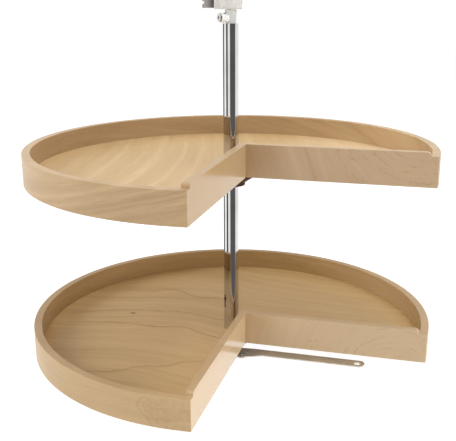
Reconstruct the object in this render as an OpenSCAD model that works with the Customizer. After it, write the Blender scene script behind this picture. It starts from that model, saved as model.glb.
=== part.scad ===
// Two-shelf pie-cut corner carousel on a telescoping pole.
// Z is the pole axis and z = 0 is the cabinet floor under the base.
// The open quarter of the trays faces +X and -Y.

/* [Trays] */
// Diameter of the two round trays
tray_d = 711.2; // [600:0.1:820]
// Distance from the pole axis to each face of the open quarter
notch_offset = 35.8; // [33:0.1:60]
// Height of the bent rim
rim_h = 50.8; // [38:0.1:80]
// Thickness of the bent rim
rim_t = 14; // [10:0.5:20]
// Chamfer along the top edges of the rim
rim_chamfer = 1.2; // [0.5:0.1:3]
// Height of the straight walls above the rim
wall_rise = 6.7; // [3:0.1:12]
// Thickness of the straight walls
wall_t = 12.5; // [9:0.5:15]
// Thickness of the plywood floor
floor_t = 12.7; // [11:0.1:18]
// Height of the upper tray above the lower tray
tray_pitch = 307; // [260:1:340]

/* [Nails] */
// Diameter of a nail
nail_d = 1.6; // [1.2:0.1:2.4]
// Length of a nail
nail_len = 30; // [24:1:40]
// Distance from the axis to the first nail of a straight wall
nail_start = 80; // [60:1:110]
// Nails along the floor edge of a straight wall
wall_nail_n = 4; // [3:1:6]
// Nails round the floor edge of the rim
rim_nail_n = 8; // [5:1:12]

/* [Hubs] */
// Diameter of the hub flange under a tray
hub_flange_d = 92; // [86:1:98]
// Thickness of the hub flange
hub_flange_t = 3.5; // [3:0.1:5]
// Diameter of the hub boss
hub_boss_d = 50; // [42:1:54]
// Depth of the hub below its tray
hub_depth = 22; // [20:0.5:30]
// Depth at which the cone meets the boss
hub_cone_depth = 17; // [15:0.5:19]
// Wall of the hub spigot in the floor
hub_spigot_wall = 4; // [3:0.1:5]
// Thickness of the floor left over the hub spigot
floor_skin = 3; // [2:0.1:4]
// Screws in one hub
hub_screw_n = 4; // [4:4:4]
// Diameter of the hub screw circle
hub_screw_pcd = 72; // [70:0.5:76]
// Diameter of a hub screw
hub_screw_d = 4.2; // [3.5:0.1:5]
// Diameter of a hub screw head
hub_head_d = 8.4; // [7.5:0.1:9]
// Height of a hub screw head
hub_head_h = 2.4; // [1.8:0.1:3.2]
// Depth of a hub screw in the floor
hub_screw_bite = 9; // [7:0.5:10]
// Diameter of a hub lock screw
lock_d = 6; // [5:0.5:8]
// Length of a hub lock screw
lock_len = 14; // [10:0.5:18]
// Depth of the lock screw below the tray
lock_depth = 11; // [9:0.5:12]
// Direction in which the lock screws, the keyhole and the clamp screw face
lock_angle = -136; // [-150:1:-120]

/* [Pole] */
// Outside diameter of the pole
pole_d = 26.7; // [25:0.1:28]
// Wall of the pole
pole_wall = 1.2; // [0.8:0.1:2]
// Length of the pole
pole_len = 583.6; // [520:0.1:700]
// Height of the keyhole slot above the lower tray floor
keyhole_rise = 40.8; // [30:0.1:80]
// Length of the keyhole slot
keyhole_len = 25.5; // [22:0.5:40]
// Width of the keyhole slot
keyhole_w = 3.6; // [2.5:0.1:5]
// Diameter of the round part of the keyhole
keyhole_d = 7; // [6:0.1:10]
// Height of the round part above the slot's lower end
keyhole_eye = 18; // [12:0.5:18]

/* [Base] */
// Diameter of the base disc
base_d = 46; // [45.5:0.5:50]
// Thickness of the base disc
base_flange_t = 5.3; // [4.8:0.1:6]
// Diameter of the base boss
base_boss_d = 23; // [22:0.5:24]
// Height of the base boss above its disc
base_boss_h = 4.4; // [4.3:0.1:8]
// Diameter of the circle that the base screw holes lie on
base_hole_pcd = 35.4; // [35:0.1:36]
// Diameter of a base screw hole
base_hole_d = 4.5; // [3.5:0.1:5]
// Diameter of the countersink of a base screw hole
base_sink_d = 8.4; // [7.5:0.1:8.8]
// Depth of that countersink
base_sink_h = 2; // [1.5:0.1:2.5]
// Diameter of the ear that takes the arm clamp screw
base_ear_d = 14; // [12:0.5:15]
// Thickness of that ear
base_ear_t = 1.9; // [1.5:0.1:3]
// Width of the neck between the disc and its ear
base_neck_w = 11; // [9:0.5:12]
// Diameter of the steel spindle
spindle_d = 10; // [8:0.5:11]
// Length of the spindle
spindle_len = 44; // [36:1:46]
// Web left under the spindle
spindle_floor = 1; // [0.8:0.1:1.5]

/* [Thrust bearing] */
// Number of balls
ball_n = 10; // [8:1:11]
// Diameter of a ball
ball_d = 3.5; // [3:0.1:3.8]
// Diameter of the ball circle
ball_pcd = 16.4; // [16:0.1:17]
// Thickness of a race
race_t = 1.5; // [1.2:0.1:2.5]
// Depth of the ball track in a race
track_depth = 0.4; // [0.2:0.05:0.5]
// Thickness of the ball cage
cage_t = 1.4; // [1:0.1:1.8]

/* [Pole foot] */
// Thickness of the foot flange under the pole
foot_flange_t = 2.4; // [2:0.1:5]
// Width of the foot flange beyond the pole
foot_ledge = 3; // [2:0.1:5]
// Depth of the foot plug in the pole
foot_plug_len = 30; // [28:1:60]

/* [Index arm] */
// Direction of the arm at rest
arm_angle = 0; // [-5:0.5:5]
// Swing of the arm to each side
arm_swing = 6; // [3:0.5:7]
// Thickness of the arm
arm_t = 2; // [1.5:0.1:2.5]
// Distance from the axis to the large hole
arm_reach = 235; // [180:0.5:300]
// Width of the arm
arm_w = 23.4; // [18:0.2:25]
// Width that the arm's sides aim at on the axis
arm_root_w = 15; // [12:0.5:20]
// Distance from the axis to the arm's full width
arm_taper_end = 36; // [30:1:60]
// Diameter of the round outer end
arm_end_d = 26; // [25.5:0.5:32]
// Diameter of the large hole
arm_hole_d = 10.5; // [8:0.1:14]
// Diameter of a small hole
arm_pin_hole_d = 4.5; // [3:0.1:6]
// Distance between the two small holes
arm_pin_pitch = 10.1; // [8:0.1:12]
// Distance from the large hole to the nearer small hole
arm_pin_setback = 18.4; // [16:0.1:24]
// Diameter of the ring round the base boss
arm_ring_d = 30; // [28:0.5:31]
// Distance from the axis to the clamp screw in the ear
arm_clamp_r = 32; // [31:0.1:33]
// Angle from the arm to its clamp screw at rest
arm_clamp_angle = -37.5; // [-42:0.5:-34]
// Diameter of the ear round the clamp screw
arm_ear_d = 18.4; // [17.6:0.2:20]
// Distance from the axis to the start of the web beside the ear
arm_web_start = 30; // [28:1:33]
// Distance from the axis to the end of that web
arm_web_end = 62; // [50:1:80]
// Diameter of the arm clamp screw
arm_screw_d = 4; // [3:0.1:4.5]
// Diameter of the arm clamp screw head
arm_head_d = 8.6; // [7.5:0.1:9.5]
// Height of the arm clamp screw head
arm_head_h = 2.5; // [1.5:0.1:3]
// Length of the clamp screw below the base ear
arm_tip = 1; // [0.5:0.1:1.4]
// Clearance of the clamp screw in its curved slot
arm_slot_gap = 0.2; // [0.1:0.05:0.4]

/* [Telescoping stem] */
// Diameter of the steel stem
stem_d = 12; // [10:0.1:12.5]
// Travel of the stem out of the pole
stem_lift = 140; // [80:1:160]
// Stem left below its stop clip
stem_tail = 7; // [4:0.5:15]
// Depth of the guide plug in the pole
guide_plug_len = 30; // [20:1:50]
// Height of the neck above the pole
neck_h = 22.5; // [20:0.1:30]
// Diameter of the neck at the pole
neck_base_d = 16.5; // [16:0.1:20]
// Diameter of the neck at its top
neck_top_d = 20; // [17:0.1:24]
// Diameter of the clamp boss on the neck
clamp_boss_d = 16; // [15:0.1:17]
// Distance from the axis to the face of the clamp boss
clamp_boss_reach = 20; // [19:0.1:26]
// Height of the clamp screw above the pole
clamp_rise = 9.7; // [9:0.1:12]
// Diameter of the stem clamp screw
clamp_d = 6; // [5:0.1:6.5]
// Diameter of the clamp screw head
clamp_head_d = 13.5; // [11:0.1:15]
// Thickness of the clamp screw head
clamp_head_h = 3.2; // [2.5:0.1:5]
// Width of the square clamp nut
nut_w = 10; // [9:0.1:10.5]
// Thickness of the clamp nut
nut_t = 4; // [3:0.1:5]
// Distance from the axis to the clamp nut
nut_reach = 11.5; // [11:0.1:12.5]

/* [Top mount] */
// Diameter of the round part of the top housing
housing_d = 37; // [35:0.1:42]
// Height of the top housing
housing_h = 28; // [27:0.5:36]
// Distance from the axis to the left side of the housing
housing_left = 27; // [26:0.1:30]
// Distance from the axis to the right side of the housing block
housing_right = 16; // [15.5:0.1:18]
// Distance from the axis to the front of the left block
housing_front = 8; // [6:0.1:10]
// Distance from the axis to the flat back of the housing
housing_back = 13; // [12:0.1:16]
// Chamfer round the foot of the housing
housing_chamfer = 2; // [1:0.1:3]
// Diameter of the collar on the stem
collar_d = 18; // [17:0.1:19]
// Height of the collar
collar_h = 3; // [2:0.1:3.5]
// Thickness of the thrust washer
washer_t = 1.2; // [0.8:0.1:1.4]
// Depth of the recess that holds the collar and the washer
recess_h = 5; // [5:0.1:6]
// Wall of the top bush
bush_wall = 2; // [1.5:0.1:2.5]
// Length of the top bush
bush_len = 15; // [12:0.5:15.5]
// Thickness of the bush flange
bush_flange_t = 1.5; // [1:0.1:2]
// Width of the bush flange beyond the bush
bush_ledge = 2.5; // [1.5:0.1:3]
// Diameter of the pocket over the bush
pocket_d = 24; // [23.5:0.1:25]
// Thickness of the housing cap
cap_t = 2; // [1.5:0.1:2.5]

/* [Top bracket] */
// Thickness of the bracket steel
bracket_t = 2.5; // [2:0.1:4]
// Distance from the axis to the bracket's left edge
bracket_left = 54; // [46:0.5:60]
// Distance from the axis to the bracket's right edge
bracket_right = 15; // [14:0.5:18]
// Height of the bracket above the housing's foot
bracket_foot = 1.7; // [1:0.1:4]
// Height of the bracket's upright
bracket_h = 38.3; // [34:0.1:60]
// Depth of the bracket's top flange
bracket_flange = 40; // [36:1:60]
// Distance between the top screw holes along the flange
top_hole_x = 46; // [36:0.5:50]
// Distance between the top screw holes across the flange
top_hole_y = 20; // [16:0.5:22]
// Diameter of a top screw hole
top_hole_d = 4.8; // [3.5:0.1:6]
// Width of the notch in the bracket's left edge
edge_notch_w = 5; // [4:0.1:8]
// Depth of the notch in the bracket's left edge
edge_notch_depth = 3.5; // [2.6:0.1:6]
// Height of that notch above the housing's foot
edge_notch_rise = 10.5; // [9:0.1:14]
// Distance from the axis to the left bracket screw
bracket_screw_left = 20; // [19:0.1:21]
// Distance from the axis to the right bracket screw
bracket_screw_right = 12; // [11.8:0.1:12.2]
// Height of the bracket screws above the housing's foot
bracket_screw_rise = 11; // [9:0.5:13]
// Diameter of a bracket screw
bracket_screw_d = 4; // [3:0.1:4.5]
// Length of a bracket screw in the housing
bracket_screw_bite = 9; // [7:0.5:9.5]
// Diameter of a bracket screw head
bracket_head_d = 7.4; // [6:0.1:8.5]
// Height of a bracket screw head
bracket_head_h = 2.4; // [1.5:0.1:3]

/* [Clips] */
// Thickness of a retaining clip
clip_t = 1.2; // [0.8:0.1:1.6]
// Depth of a clip groove
clip_groove = 1; // [0.6:0.1:1.2]
// Width of a clip beyond its shaft
clip_ledge = 3; // [2:0.1:4]
// Opening of a clip
clip_gap = 6; // [4:0.5:8]
// Width of the arm's retaining ring beyond the boss
arm_clip_ledge = 2.5; // [1.5:0.1:3]

/* [Fits] */
// Radial clearance of a running fit
run_fit = 0.05; // [0.02:0.01:0.09]
// Radial clearance between pieces fixed together
seat_fit = 0.02; // [0.01:0.01:0.05]
// Gap between flat faces that slide or turn on each other
face_gap = 0.1; // [0.05:0.01:0.2]
// Gap between the pole and the floor it passes through
pole_hole_gap = 0.2; // [0.1:0.05:0.4]
// Clearance of a ball in its track
ball_fit = 0.1; // [0.05:0.01:0.15]
// Gap between the neck and the housing at the lowest setting
rest_gap = 0.8; // [0.5:0.1:2]

/* [Hidden] */
$fn = 96;
eps = 1;

// Radii of the trays, and the back plane of the straight walls
tray_r = tray_d / 2;
rim_in_r = tray_r - rim_t;
rim_mid_r = tray_r - rim_t / 2;
wall_h = rim_h + wall_rise;
wall_back = notch_offset - wall_t;
rim_in_x = sqrt(rim_in_r * rim_in_r - wall_back * wall_back);
rim_mid_x = sqrt(rim_mid_r * rim_mid_r - wall_back * wall_back);

// Pole, hub and spindle radii
pole_r = pole_d / 2;
pole_in_r = pole_r - pole_wall;
hub_bore_r = pole_r + run_fit;
spigot_r = hub_bore_r + hub_spigot_wall;
spigot_h = floor_t - floor_skin - face_gap;
pocket_gap = 0.8;
spindle_r = spindle_d / 2;
stem_r = stem_d / 2;
stem_bore_r = stem_r + run_fit;
base_boss_r = base_boss_d / 2;
arm_bore_r = base_boss_r + run_fit;

// Heights, from the cabinet floor up
arm_z = base_flange_t + face_gap;
arm_top_z = arm_z + arm_t;
arm_clip_z = arm_top_z + 2 * face_gap;
base_top_z = base_flange_t + base_boss_h;
base_ear_z = base_flange_t - base_ear_t;
ball_r = ball_d / 2;
track_r = ball_r + ball_fit;
race_gap = 2 * (track_r - track_depth);
ball_z = base_top_z + race_t + race_gap / 2;
upper_race_z = base_top_z + race_t + race_gap;
foot_z = upper_race_z + race_t;
pole_z = foot_z + foot_flange_t;
lower_tray_z = pole_z + hub_depth;
upper_tray_z = lower_tray_z + tray_pitch;
keyhole_z = lower_tray_z + floor_t + keyhole_rise;
pole_top_z = pole_z + pole_len;
guide_foot_z = pole_top_z - guide_plug_len;
neck_top_z = pole_top_z + neck_h;
clamp_z = pole_top_z + clamp_rise;
stop_clip_z = guide_foot_z - stem_lift - clip_t;
housing_z = neck_top_z + rest_gap;
washer_z = housing_z + recess_h - face_gap - washer_t;
collar_z = washer_z - collar_h;
bush_z = housing_z + recess_h;
bush_top_z = bush_z + bush_len;
top_clip_z = bush_top_z + bush_flange_t + 2 * face_gap;
stem_top_z = top_clip_z + clip_t + 1;
housing_top_z = housing_z + housing_h;
bush_r = stem_bore_r + bush_wall;
pocket_r = pocket_d / 2;
bracket_z = housing_z + bracket_foot;
bracket_top_z = bracket_z + bracket_h;
bracket_back = housing_back + bracket_t;
bracket_hole_mid = [(bracket_right - bracket_left) / 2, bracket_back + bracket_flange / 2];

wood = "burlywood";
dark_wood = "tan";
steel = "silver";
bright = "gainsboro";
brown_plastic = "saddlebrown";
white_plastic = "whitesmoke";

// A ring about the axis from z0 up
module ring(outer, inner, z0, h)
    translate([0, 0, z0]) difference() {
        cylinder(r = outer, h = h);
        translate([0, 0, -eps]) cylinder(r = inner, h = h + 2 * eps);
    }

// What follows points away from the axis along +X, turned to an angle at a height
module radial(angle, z) translate([0, 0, z]) rotate([0, 0, angle]) rotate([0, 90, 0]) children();

// A hexagon socket sunk into a face at the height z
module socket(width, depth, z) translate([0, 0, z - depth]) cylinder(d = width, h = depth + eps, $fn = 6);

// A snap ring with a gap towards +X
module snap_ring(outer, inner, z) color(steel) difference() {
    ring(outer, inner, z, clip_t);
    translate([0, -clip_gap / 2, z - eps]) cube([outer + eps, clip_gap, clip_t + 2 * eps]);
}

// ---- Trays, each drawn with its underside at z = 0 ----

module quarter_gap(offset)
    translate([offset, offset - 2 * tray_r, -eps])
        cube([tray_r, 2 * (tray_r - offset), wall_h + 2 * eps]);

module hub_screw_places()
    for (i = [0:hub_screw_n - 1])
        rotate([0, 0, i * 360 / hub_screw_n]) translate([hub_screw_pcd / 2, 0, 0]) children();

module tray_floor() color(wood) difference() {
    cylinder(r = rim_in_r, h = floor_t, $fn = 180);
    quarter_gap(wall_back);
    translate([0, 0, -eps]) cylinder(r = spigot_r + seat_fit, h = floor_t - floor_skin + eps);
    translate([0, 0, -eps]) cylinder(r = pole_r + pole_hole_gap, h = floor_t + 2 * eps);
    hub_screw_places() translate([0, 0, -eps])
        cylinder(d = hub_screw_d + 2 * seat_fit, h = hub_screw_bite + eps + 0.5);
}

module tray_rim() color(dark_wood) difference() {
    rotate_extrude($fn = 180) polygon([
        [rim_in_r, 0], [tray_r, 0],
        [tray_r, rim_h - rim_chamfer], [tray_r - rim_chamfer, rim_h],
        [rim_in_r + rim_chamfer, rim_h], [rim_in_r, rim_h - rim_chamfer]
    ]);
    quarter_gap(wall_back);
}

// The wall on the -Y side of the tray, from x = start to the outside of the rim.
// Its top comes down in a quarter round to the height of the rim.
module straight_wall(start) color(wood) intersection() {
    translate([0, -wall_back, 0]) rotate([90, 0, 0]) linear_extrude(wall_t) {
        translate([start, 0]) square([tray_r - start, rim_h]);
        translate([start, 0]) square([rim_in_x - wall_rise - start, wall_h]);
        translate([rim_in_x - wall_rise, rim_h]) circle(r = wall_rise);
    }
    cylinder(r = tray_r, h = wall_h, $fn = 180);
}

module right_wall() straight_wall(wall_back);

// The left wall butts against the outer face of the right wall
module left_wall() mirror([1, 1, 0]) straight_wall(notch_offset);

module nail_towards_y(x, y, z) translate([x, y, z]) rotate([-90, 0, 0]) cylinder(d = nail_d, h = nail_len);

module wall_nails() {
    pitch = (rim_in_x - nail_start - nail_len) / (wall_nail_n - 1);
    for (i = [0:wall_nail_n - 1])
        nail_towards_y(nail_start + i * pitch, -notch_offset, floor_t / 2);
    for (share = [0.45, 0.8])
        nail_towards_y(rim_mid_x, -notch_offset, share * rim_h);
}

module tray_nails() color(steel) {
    wall_nails();
    mirror([1, 1, 0]) wall_nails();
    for (i = [1:rim_nail_n])
        rotate([0, 0, i * 270 / (rim_nail_n + 1)])
            translate([tray_r, 0, floor_t / 2]) rotate([0, -90, 0]) cylinder(d = nail_d, h = nail_len);
    for (share = [0.4, 0.8])
        nail_towards_y(notch_offset - wall_t / 2, -wall_back - nail_len, share * wall_h);
}

module tray_hub() color(brown_plastic) difference() {
    rotate_extrude() polygon([
        [hub_bore_r, -hub_depth], [hub_boss_d / 2, -hub_depth],
        [hub_boss_d / 2, -hub_cone_depth], [hub_flange_d / 2, -hub_flange_t],
        [hub_flange_d / 2, 0], [spigot_r, 0],
        [spigot_r, spigot_h], [hub_bore_r, spigot_h]
    ]);
    hub_screw_places() {
        translate([0, 0, -hub_depth]) cylinder(d = hub_head_d + 2 * pocket_gap, h = hub_depth - hub_flange_t);
        translate([0, 0, -hub_depth]) cylinder(d = hub_screw_d + 2 * seat_fit, h = hub_depth + eps);
    }
    radial(lock_angle, -lock_depth) cylinder(d = lock_d + 2 * seat_fit, h = hub_flange_d);
}

module hub_screws() color(steel) hub_screw_places() {
    translate([0, 0, -hub_flange_t - hub_head_h]) cylinder(d = hub_head_d, h = hub_head_h);
    translate([0, 0, -hub_flange_t - hub_head_h / 2])
        cylinder(d = hub_screw_d, h = hub_flange_t + hub_head_h / 2 + hub_screw_bite);
}

module hub_lock_screw() color(steel) radial(lock_angle, -lock_depth) difference() {
    translate([0, 0, pole_r + face_gap]) cylinder(d = lock_d, h = lock_len);
    socket(lock_d / 2, lock_d / 2, pole_r + face_gap + lock_len);
}

module at_lower_tray() translate([0, 0, lower_tray_z]) children();

module at_upper_tray() translate([0, 0, upper_tray_z]) children();

module lower_tray_floor() at_lower_tray() tray_floor();
module lower_tray_rim() at_lower_tray() tray_rim();
module lower_left_wall() at_lower_tray() left_wall();
module lower_right_wall() at_lower_tray() right_wall();
module lower_tray_nails() at_lower_tray() tray_nails();
module lower_hub() at_lower_tray() tray_hub();
module lower_hub_screws() at_lower_tray() hub_screws();
module lower_hub_lock_screw() at_lower_tray() hub_lock_screw();

module upper_tray_floor() at_upper_tray() tray_floor();
module upper_tray_rim() at_upper_tray() tray_rim();
module upper_left_wall() at_upper_tray() left_wall();
module upper_right_wall() at_upper_tray() right_wall();
module upper_tray_nails() at_upper_tray() tray_nails();
module upper_hub() at_upper_tray() tray_hub();
module upper_hub_screws() at_upper_tray() hub_screws();
module upper_hub_lock_screw() at_upper_tray() hub_lock_screw();

// ---- Pole and its foot ----

module keyhole() {
    slot_r = keyhole_w / 2;
    radial(lock_angle, keyhole_z + slot_r) cylinder(r = slot_r, h = pole_d);
    radial(lock_angle, keyhole_z + keyhole_len - slot_r) cylinder(r = slot_r, h = pole_d);
    radial(lock_angle, keyhole_z + keyhole_eye) cylinder(d = keyhole_d, h = pole_d);
    rotate([0, 0, lock_angle]) translate([0, -slot_r, keyhole_z + slot_r])
        cube([pole_d, keyhole_w, keyhole_len - keyhole_w]);
}

module pole_tube() color(bright) difference() {
    ring(pole_r, pole_in_r, pole_z, pole_len);
    keyhole();
}

module pole_foot() color(white_plastic) difference() {
    union() {
        translate([0, 0, foot_z]) cylinder(r = pole_r + foot_ledge, h = foot_flange_t);
        translate([0, 0, foot_z]) cylinder(r = pole_in_r - seat_fit, h = foot_flange_t + foot_plug_len);
    }
    translate([0, 0, foot_z - eps])
        cylinder(r = spindle_r + run_fit, h = foot_flange_t + foot_plug_len + 2 * eps);
}

// ---- Base ----

module base_foot() color("dimgray") difference() {
    union() {
        cylinder(d = base_d, h = base_flange_t);
        cylinder(r = base_boss_r, h = base_top_z);
        translate([0, 0, base_ear_z]) linear_extrude(base_ear_t) base_ear();
    }
    translate([0, 0, spindle_floor]) cylinder(r = spindle_r + seat_fit, h = base_top_z);
    ring(base_boss_r + eps, base_boss_r - clip_groove, arm_clip_z - face_gap / 2, clip_t + face_gap);
    for (angle = [90, 180, 270])
        rotate([0, 0, angle]) translate([base_hole_pcd / 2, 0, 0]) {
            translate([0, 0, -eps]) cylinder(d = base_hole_d, h = base_flange_t + 2 * eps);
            translate([0, 0, base_flange_t - base_sink_h])
                cylinder(d1 = base_hole_d, d2 = base_sink_d, h = base_sink_h + face_gap / 10);
        }
    at_arm_clamp() translate([0, 0, -eps])
        cylinder(d = arm_screw_d + 2 * seat_fit, h = base_flange_t + 2 * eps);
}

module base_ear() rotate(arm_angle + arm_clamp_angle) {
    translate([arm_clamp_r, 0]) circle(d = base_ear_d);
    translate([0, -base_neck_w / 2]) square([arm_clamp_r, base_neck_w]);
}

module base_spindle() color(steel)
    translate([0, 0, spindle_floor]) cylinder(r = spindle_r, h = spindle_len);

module ball_track()
    rotate_extrude() translate([ball_pcd / 2, ball_z]) circle(r = track_r, $fn = 48);

module lower_race() color(steel) difference() {
    ring(base_boss_r, spindle_r + face_gap, base_top_z, race_t);
    ball_track();
}

module upper_race() color(steel) difference() {
    ring(base_boss_r, spindle_r + 2 * face_gap, upper_race_z, race_t);
    ball_track();
}

module ball_places()
    for (i = [0:ball_n - 1])
        rotate([0, 0, i * 360 / ball_n]) translate([ball_pcd / 2, 0, ball_z]) children();

module bearing_balls() color(bright) ball_places() sphere(r = ball_r, $fn = 32);

module ball_cage() color("darkgoldenrod") difference() {
    ring(base_boss_r, spindle_r + 4 * face_gap, ball_z - cage_t / 2, cage_t);
    ball_places() cylinder(r = ball_r + run_fit, h = cage_t + 2 * eps, center = true);
}

// ---- Index arm ----

module at_arm_clamp()
    rotate([0, 0, arm_angle + arm_clamp_angle]) translate([arm_clamp_r, 0, 0]) children();

// A wedge from the axis, reaching past the clamp screw
module wedge(from, to) {
    far = 2 * arm_clamp_r;
    polygon([for (a = [from, (from + to) / 2, to]) far * [cos(a), sin(a)], [0, 0]]);
}

// The curved slot, with square ends
module arm_slot() {
    slot_r = arm_screw_d / 2 + arm_slot_gap;
    end = arm_swing + asin(slot_r / arm_clamp_r);
    intersection() {
        difference() {
            circle(r = arm_clamp_r + slot_r);
            circle(r = arm_clamp_r - slot_r);
        }
        wedge(arm_clamp_angle - end, arm_clamp_angle + end);
    }
}

module arm_outline() {
    ear = arm_clamp_r * [cos(arm_clamp_angle), sin(arm_clamp_angle)];
    web_depth = 0.45 * arm_ear_d;
    circle(d = arm_ring_d);
    polygon([
        [0, -arm_root_w / 2], [arm_taper_end, -arm_w / 2], [arm_reach, -arm_w / 2],
        [arm_reach, arm_w / 2], [arm_taper_end, arm_w / 2], [0, arm_root_w / 2]
    ]);
    translate([arm_reach, 0]) circle(d = arm_end_d);
    translate(ear) circle(d = arm_ear_d);
    polygon([[arm_web_start, 0], ear, ear - [0, web_depth], [arm_web_end, -arm_w / 2], [arm_web_end, 0]]);
}

module index_arm() color(steel)
    translate([0, 0, arm_z]) rotate([0, 0, arm_angle]) linear_extrude(arm_t) difference() {
        arm_outline();
        circle(r = arm_bore_r);
        arm_slot();
        translate([arm_reach, 0]) circle(d = arm_hole_d);
        for (i = [0, 1])
            translate([arm_reach - arm_pin_setback - i * arm_pin_pitch, 0]) circle(d = arm_pin_hole_d);
    }

module arm_retaining_ring()
    snap_ring(base_boss_r + arm_clip_ledge, base_boss_r - clip_groove + seat_fit, arm_clip_z);

module arm_clamp_screw() color(bright) at_arm_clamp() difference() {
    union() {
        translate([0, 0, arm_top_z + face_gap]) cylinder(d = arm_head_d, h = arm_head_h);
        translate([0, 0, base_ear_z - arm_tip])
            cylinder(d = arm_screw_d, h = arm_top_z + face_gap + arm_head_h / 2 - base_ear_z + arm_tip);
    }
    socket(arm_head_d / 2, arm_head_h / 2, arm_top_z + face_gap + arm_head_h);
}

// ---- Telescoping stem, its guide and its clamp ----

module stem_guide() color(white_plastic) difference() {
    union() {
        translate([0, 0, guide_foot_z]) cylinder(r = pole_in_r - seat_fit, h = guide_plug_len);
        translate([0, 0, pole_top_z]) cylinder(d1 = neck_base_d, d2 = neck_top_d, h = neck_h);
        radial(lock_angle, clamp_z) cylinder(d = clamp_boss_d, h = clamp_boss_reach);
    }
    translate([0, 0, guide_foot_z - eps]) cylinder(r = stem_bore_r, h = guide_plug_len + neck_h + 2 * eps);
    radial(lock_angle, clamp_z) cylinder(d = clamp_d + 2 * run_fit, h = clamp_boss_reach + eps);
    rotate([0, 0, lock_angle])
        translate([nut_reach - seat_fit, -nut_w / 2 - seat_fit, clamp_z - nut_w / 2 - seat_fit])
            cube([nut_t + 2 * seat_fit, nut_w + 2 * seat_fit, nut_w + clamp_boss_d]);
}

module stem_clamp_screw() color(bright) radial(lock_angle, clamp_z) difference() {
    union() {
        translate([0, 0, stem_r + face_gap]) cylinder(d = clamp_d, h = clamp_boss_reach - stem_r);
        translate([0, 0, clamp_boss_reach]) cylinder(d = clamp_head_d, h = clamp_head_h);
    }
    socket(clamp_d, clamp_head_h * 0.6, clamp_boss_reach + clamp_head_h);
}

module stem_clamp_nut() color(steel) rotate([0, 0, lock_angle]) difference() {
    translate([nut_reach, -nut_w / 2, clamp_z - nut_w / 2]) cube([nut_t, nut_w, nut_w]);
    radial(0, clamp_z) cylinder(d = clamp_d + 2 * seat_fit, h = clamp_boss_reach);
}

module stem_groove(z)
    ring(stem_r + eps, stem_r - clip_groove, z - face_gap / 2, clip_t + face_gap);

module stem_rod() color(bright) difference() {
    translate([0, 0, stop_clip_z - stem_tail])
        cylinder(r = stem_r, h = stem_top_z - stop_clip_z + stem_tail);
    stem_groove(stop_clip_z);
    stem_groove(top_clip_z);
}

module stem_clip(z) snap_ring(stem_r + clip_ledge, stem_r - clip_groove + seat_fit, z);

module stem_stop_clip() stem_clip(stop_clip_z);

module stem_top_clip() stem_clip(top_clip_z);

module stem_collar() color(steel) ring(collar_d / 2, stem_r + seat_fit, collar_z, collar_h);

module thrust_washer() color("peru") ring(collar_d / 2, stem_bore_r, washer_z, washer_t);

// ---- Top mount ----

module bracket_screw_places()
    for (x = [-bracket_screw_left, bracket_screw_right])
        translate([x, housing_back, housing_z + bracket_screw_rise]) rotate([90, 0, 0]) children();

module housing_outline() {
    intersection() {
        circle(d = housing_d);
        translate([-housing_d, -housing_d]) square([2 * housing_d, housing_d + housing_back]);
    }
    translate([-housing_left, -housing_front]) square([housing_left, housing_front + housing_back]);
    square([housing_right, housing_back]);
}

module top_housing() color(white_plastic) difference() {
    translate([0, 0, housing_z]) linear_extrude(housing_h) housing_outline();
    foot_chamfer();
    translate([0, 0, housing_z - eps]) cylinder(r = collar_d / 2 + 0.6, h = recess_h + eps);
    translate([0, 0, housing_z]) cylinder(r = bush_r + seat_fit, h = housing_h);
    translate([0, 0, bush_top_z]) cylinder(r = pocket_r, h = housing_h);
    bracket_screw_places() cylinder(d = bracket_screw_d + 2 * seat_fit, h = bracket_screw_bite + 0.5);
}

// What the chamfer takes off the round front of the housing
module foot_chamfer() intersection() {
    translate([0, -housing_d, housing_z - eps]) cube([housing_d, housing_d, housing_chamfer + 2 * eps]);
    rotate_extrude() polygon([
        [housing_d / 2 - housing_chamfer, housing_z], [housing_d / 2 - housing_chamfer, housing_z - eps],
        [housing_d / 2 + eps, housing_z - eps], [housing_d / 2 + eps, housing_z + housing_chamfer],
        [housing_d / 2, housing_z + housing_chamfer]
    ]);
}

module top_bush() color("ivory") {
    ring(bush_r, stem_bore_r, bush_z, bush_len);
    ring(bush_r + bush_ledge, stem_bore_r, bush_top_z, bush_flange_t);
}

module housing_cap() color(white_plastic)
    translate([0, 0, housing_top_z - cap_t]) cylinder(r = pocket_r - seat_fit, h = cap_t);

module top_bracket() color("gray") difference() {
    union() {
        translate([-bracket_left, housing_back, bracket_z])
            cube([bracket_left + bracket_right, bracket_t, bracket_h]);
        translate([-bracket_left, housing_back, bracket_top_z - bracket_t])
            cube([bracket_left + bracket_right, bracket_t + bracket_flange, bracket_t]);
    }
    for (sx = [-1, 1], sy = [-1, 1])
        translate([bracket_hole_mid.x + sx * top_hole_x / 2, bracket_hole_mid.y + sy * top_hole_y / 2, 0])
            cylinder(d = top_hole_d, h = bracket_top_z + eps);
    bracket_screw_places() translate([0, 0, -bracket_t - eps])
        cylinder(d = bracket_screw_d + 2 * seat_fit, h = bracket_t + 2 * eps);
    edge_notch();
}

module edge_notch() {
    notch_r = edge_notch_w / 2;
    notch_end = edge_notch_depth - notch_r - bracket_left;
    translate([notch_end, housing_back - eps, housing_z + edge_notch_rise]) rotate([-90, 0, 0])
        cylinder(r = notch_r, h = bracket_t + 2 * eps);
    translate([-bracket_left - eps, housing_back - eps, housing_z + edge_notch_rise - notch_r])
        cube([notch_end + bracket_left + eps, bracket_t + 2 * eps, edge_notch_w]);
}

module bracket_screws() color(steel) bracket_screw_places() {
    translate([0, 0, -bracket_t]) cylinder(d = bracket_screw_d, h = bracket_t + bracket_screw_bite);
    translate([0, 0, -bracket_t - bracket_head_h]) cylinder(d = bracket_head_d, h = bracket_head_h);
}

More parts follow.
